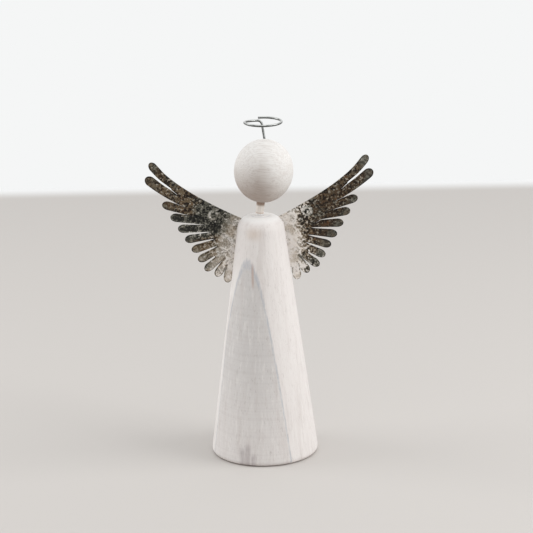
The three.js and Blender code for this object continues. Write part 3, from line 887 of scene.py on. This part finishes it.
def byFeather(bench, u, v, patinaAndPaintedLight, unitReach=100):
    # tone and warmth of the feather that a spot is on, and the spot's distance beyond its tip
    fanU, fanV = u - fanMiddle[0], v - fanMiddle[1]
    low, high = featherAngles[0], featherAngles[-1]
    angle = bench.math("ARCTAN2", fanV, fanU) * (180 / math.pi)
    feathers = zip(featherAngles, patinaAndPaintedLight["tones"], patinaAndPaintedLight["warmth"], featherReach)
    stops = [((a - low) / (high - low), (tone, warm, reach / unitReach)) for a, tone, warm, reach in feathers]
    tone, warmth, reach = ((angle - low) / (high - low)).ramp(stops).split()
    return tone, warmth, bench.length(fanU, fanV) - reach * unitReach


def sheetFinish(name, patinaAndPaintedLight, rules, colours, bossRadius):
    finish, bench = newFinish(name)
    edge = attribute(bench, "edge")
    u, v, behind = attribute(bench, "sheet", "Vector").split()
    seeded = bench.joined(u, v, patinaAndPaintedLight["seed"])
    above = bench.joined(u, v, patinaAndPaintedLight["seed"] + 20)
    tone, warmth, beyond = byFeather(bench, u, v, patinaAndPaintedLight)
    # a plainer back, the pale root with a painted reflection of the body on it, and the calmer tips
    tone = tone.towards(rules["backTone"], behind)
    calm = 1 - behind * rules["backCalm"]
    onFront = 1 - behind * rules["backRoot"]
    inward = u + v * patinaAndPaintedLight["rootSlope"] - patinaAndPaintedLight["rootReach"] + (seeded.noise(0.18, 3.0, 0.6) - 0.5) * 9
    # root: pale patina and a painted reflection of the white body, near the body
    root = inward.step(*rules["rootEdge"]) * onFront
    tone = tone.towards(patinaAndPaintedLight["root"], root * rules["rootHold"])
    warmth = warmth.towards(rules["rootWarmth"], root)
    plain = (beyond + seeded.noise(0.3, 2.0) * 8).step(*rules["tip"]) * (1 - root)
    warmth = warmth * (1 - plain * patinaAndPaintedLight["tipCool"])
    # dark blotches and pale flecks on the feathers
    blotches = (seeded.noise(0.7, 3.0, 0.62) + (0.55 - warmth) * 0.1).step(0.44, 0.53)
    dark = blotches * (1 - plain * (0.15 + warmth * 0.5)) * (1 - root * 0.8) * tone.step(0.75, 0.45) * calm
    tone = tone * (1 - dark * patinaAndPaintedLight["dark"])
    flecks = above.noise(0.95, 2.0, 0.6).step(0.55, 0.63) * (1 - plain * 0.6) * calm
    tone = tone + flecks * patinaAndPaintedLight["flecks"] * (1 - root * 0.6)
    warmth = warmth * (1 - flecks * 0.45)
    # speckle where the root ends, painted swirl highlights and grain on it
    lower = v.step(*rules["lower"])
    band = inward.near(*rules["speckleBand"]) * onFront
    speckle = (above.noise(0.8, 2.0, 0.6).step(0.45, 0.59) - 0.3) * band * (1 - lower * 0.4)
    tone = tone + speckle * patinaAndPaintedLight["speckle"]
    swirlHighlight = seeded.noise(0.22, 2.5, 0.6)
    # painted highlights: pale swirling lines on the root, as hammered metal catching light
    tone = tone + (swirlHighlight.near(0.5, 0.07, 0.0) - 0.3) * root * patinaAndPaintedLight["swirlHighlight"]
    tone = tone + (above.noise(1.5, 2.0, 0.6) - 0.5) * root * rules["grain"]
    # rims along the cut edge
    rim = lower * (patinaAndPaintedLight["rim"] - rules["upperRim"]) + rules["upperRim"] + root * rules["rootRim"]
    tone = tone + edge.step(*rules["edge"]) * rim
    tone = tone + plain * (patinaAndPaintedLight["tipLift"] + edge.step(*rules["tipEdge"]) * rules["tipRim"])
    greyRim = warmth.step(0.35, 0.15) * edge.step(*rules["greyEdge"]) * swirlHighlight.step(0.35, 0.5) * calm
    tone = tone + greyRim * rules["greyRim"]
    # the boss, with a painted highlight ring and a painted highlight spot at its top
    out = bench.length(u, v) / bossRadius + (flecks - 0.5) * 0.1
    # painted highlight: a pale ring round the boss
    ring = out.near(*rules["bossHighlightRing"]) * (1 - blotches * 0.3) * above.noise(0.5, 1.0).step(0.25, 0.5) * calm
    tone = tone.towards(patinaAndPaintedLight["boss"] + flecks * rules["bossFlecks"], ring)
    # painted highlight spot on the top of the boss
    tone = tone + out.step(*rules["bossCentreHighlightEnd"]) * rules["bossCentreHighlight"]
    cooled = (1 - out.step(*rules["bossEnd"])) * (1 - out.step(*rules["bossCoolEnd"]) * patinaAndPaintedLight["bossCool"])
    warmth = warmth * cooled
    # colours
    hue = seeded.noise(0.3, 2.0) - 0.5
    metal = (warmth + hue * 1.2).step(0.1, 0.9).mix(tone.ramp(colours["cool"]), tone.ramp(colours["warm"]))
    rust = above.noise(0.4, 3.0, 0.65).step(0.58, 0.68) * tone.step(0.8, 0.5) * warmth
    metal = rust.cover(metal, colours["rust"])
    smudge = seeded.noise(0.17, 2.0).step(0.5, 0.6) * root
    metal = smudge.cover(metal, colours["smudge"])
    normal = bumped(bench, flecks - blotches * 0.6, rules["bump"])
    return endFinish(finish, {"Base Color": metal, "Metallic": rules["metallic"],
                              "Roughness": 0.38 + blotches * 0.2, "Normal": normal})


def makeWing(node, name, tree, patinaAndPaintedLight, sizes):
    wing = sheetFrame(node)
    sheet = cutSheet(name, wing, sizes)
    finish = sheetFinish(node + "PatinaAndPaintedLight", patinaAndPaintedLight, bothPatinasAndPaintedLight, sheetColours, sizes["bossRadius"])
    values = {"Facing": tuple(wing["axes"][2]), "Seed": patinaAndPaintedLight["seed"], "Finish": finish,
              "Dent size": sizes["dentSize"], "Dent depth": sizes["dentDepth"],
              "Boss radius": sizes["bossRadius"], "Boss rise": sizes["bossRise"],
              "Wave size": sizes["waveSize"], "Wave height": sizes["waveHeight"]}
    runTree(sheet, tree, values)
    smoothFaces(sheet, sizes["sharpEdge"])
    place(sheet, [node])
    return wing


hammeredSheet = hammerTree()
leftWing = makeWing("left_wing", "left_feather_sheet", hammeredSheet, leftPatinaAndPaintedLight, wingSheet)
rightWing = makeWing("right_wing", "right_feather_sheet", hammeredSheet, rightPatinaAndPaintedLight, wingSheet)

# Nails: one turned nail, set at each hole in the wings

wingNail = {
    "headRadius": 1.5, "headRise": 0.8, "shankRadius": 0.6, "length": 9.0, "point": 1.6, "gap": 0.3,
    "sides": 24, "rings": 60, "domeSteps": 8, "cornerSteps": 2, "unevenness": 0.0, "unevenSize": 1.0,
    "bump": 0.05,
}
nailColours = {"bright": srgb(196, 193, 188), "dull": srgb(136, 128, 118)}


def nailFinish(sizes, colours):
    finish, bench = newFinish("plainNail")
    specks = objectSpot(bench).noise(2.0, 4.0, 0.6)
    steel = specks.step(0.45, 0.7).mix(colours["bright"], colours["dull"])
    normal = bumped(bench, specks, sizes["bump"])
    sockets = {"Base Color": steel, "Metallic": 1.0, "Roughness": 0.3 + specks * 0.25, "Normal": normal}
    return endFinish(finish, sockets)


def nailTree():
    tree, bench, given = nodeTree("nailsInPlace", {"Nail": "Object", "Finish": "Material"})
    aim = named(bench, "aim", "FLOAT_VECTOR")
    turned = bench.node("FunctionNodeAlignRotationToVector", {"axis": "Z"}, {"Vector": aim})
    pattern = bench.node("GeometryNodeObjectInfo", {}, {"Object": given["Nail"]}, "Geometry")
    copies = {"Points": given["Geometry"], "Instance": pattern, "Rotation": turned}
    endTree(bench, bench.node("GeometryNodeInstanceOnPoints", {}, copies), given["Finish"])
    return tree


def makeNails(sizes, wings):
    # returns where each nail enters the body, and its way in
    finish = nailFinish(sizes, nailColours)
    quarter = [math.pi / 2 * i / sizes["domeSteps"] for i in range(sizes["domeSteps"])]
    wide, thin, gap = sizes["headRadius"], sizes["shankRadius"], sizes["gap"]
    dome = [(wide * math.sin(a), -gap - sizes["headRise"] * math.cos(a), 0) for a in quarter]
    profile = dome + [(wide, -gap, 0), (thin, -gap, 0), (thin, sizes["length"] - sizes["point"], 0),
                      (0, sizes["length"], 0)]
    pattern = turn("nail_pattern", profile, sizes, finish)
    spots, aims = [], []
    for wing in wings:
        facing = wing["axes"][2]
        for spot in wing["nails"]:
            spots.append(spot - facing * wingSheet["thickness"] * mm)
            aims.append(facing)
    nails = newPiece("wing_nails", spots)
    addNumbers(nails.data, "aim", aims, "FLOAT_VECTOR")
    runTree(nails, nailTree(), {"Nail": pattern, "Finish": finish})
    bpy.data.objects.remove(pattern)
    smoothFaces(nails)
    place(nails, ["left_upper_nail", "left_lower_nail", "right_upper_nail", "right_lower_nail"])
    return [(Vector(spot), Vector(aim)) for spot, aim in zip(spots, aims)]


def finishBody(sizes, nails):
    # sockets for the dowel and the nails
    mouth = neckMiddle + neckWay * (neckDowel["inBody"] * mm - neckHalf)
    above = neckDowel["shown"] * mm
    holes = [(mouth, -neckWay, sizes["socketRadius"] * mm, sizes["socketDepth"] * mm, above)]
    for spot, aim in nails:
        holes.append((spot, aim, sizes["pilotRadius"] * mm, sizes["pilotDepth"] * mm, 0))
    bore(body, holes)
    smoothFaces(body)
    place(body, ["body"])


finishBody(bodyCone, makeNails(wingNail, [leftWing, rightWing]))

# Floor, light and camera

studio = {
    "floorFarEdge": 0.555, "floorFade": 0.03, "floorReach": 3.0, "floor": srgb(202, 198, 194),
    "backdrop": srgb(245, 246, 246), "ambient": 0.68, "aim": (0, 0, 0.1),
}
lamps = {
    "key_light": {"spot": (0.9, -0.2, 0.74), "strength": 0.48, "size": 0.8},
    "fill_light": {"spot": (-0.95, 0.12, 0.5), "strength": 0.32, "size": 0.7},
    "top_light": {"spot": (0.1, -0.1, 1.2), "strength": 0.16, "size": 0.8},
}
view = {
    "spot": (2.45, -1220.06, 451.72), "pitch": 16.15, "roll": 1.08, "focalPixels": 2500, "imagePixels": 533,
    "sensorWidth": 36, "nearest": 0.05, "farthest": 20,
}


def makeFloor(sizes):
    reach, edge = sizes["floorReach"], sizes["floorFarEdge"]
    corners = [(-reach, -reach, 0), (reach, -reach, 0), (reach, edge, 0), (-reach, edge, 0)]
    floor = newPiece("pale_floor", corners, (), [(0, 1, 2, 3)])
    finish, bench = newFinish("paleFloor")
    _, y, _ = bench.node("ShaderNodeTexCoord", {}, {}, "Object").split()
    tint = y.step(edge - sizes["floorFade"], edge).mix(sizes["floor"], sizes["backdrop"])
    floor.data.materials.append(endFinish(finish, {"Base Color": tint, "Roughness": 0.9}))


def areaLight(name, aim, spot, strength, size):
    # strength 1 lights a facing white surface to white
    lamp = bpy.data.lights.new(name, "AREA")
    away = Vector(spot) - Vector(aim)
    lamp.size = size
    lamp.energy = math.pi ** 2 * away.length_squared * strength
    obj = bpy.data.objects.new(name, lamp)
    obj.location = spot
    obj.rotation_euler = away.to_track_quat("Z", "Y").to_euler()
    bpy.context.scene.collection.objects.link(obj)


def makeWorld(sizes):
    # the eye and mirrors see the backdrop, and other light from there is the ambient light
    world = bpy.data.worlds.new("softRoom")
    bpy.context.scene.world = world
    world.use_nodes = True
    bench = Signal(world.node_tree)
    path = bench.node("ShaderNodeLightPath", {}, {}, "Is Camera Ray")
    mirrored = bench.math("MAXIMUM", path.other("Is Glossy Ray"), path.other("Is Transmission Ray"))
    seen = bench.math("MAXIMUM", path, mirrored)
    ambient = (sizes["ambient"],) * 3 + (1,)
    plug(bench.tree, world.node_tree.nodes["Background"], {"Color": seen.mix(ambient, sizes["backdrop"])})


def makeCamera(sizes):
    lens = bpy.data.cameras.new("view")
    lens.sensor_width = sizes["sensorWidth"]
    lens.lens = lens.sensor_width * sizes["focalPixels"] / sizes["imagePixels"]
    lens.clip_start, lens.clip_end = sizes["nearest"], sizes["farthest"]
    camera = bpy.data.objects.new("view", lens)
    camera.location = Vector(sizes["spot"]) * mm
    camera.rotation_mode = "ZYX"
    camera.rotation_euler = (math.radians(90 - sizes["pitch"]), 0, -math.radians(sizes["roll"]))
    bpy.context.scene.collection.objects.link(camera)
    bpy.context.scene.camera = camera


makeFloor(studio)
for lampName, lampSizes in lamps.items():
    areaLight(lampName, studio["aim"], **lampSizes)
makeWorld(studio)
makeCamera(view)
bpy.context.scene.view_settings.view_transform = "Standard"
print("floor, light and camera set")
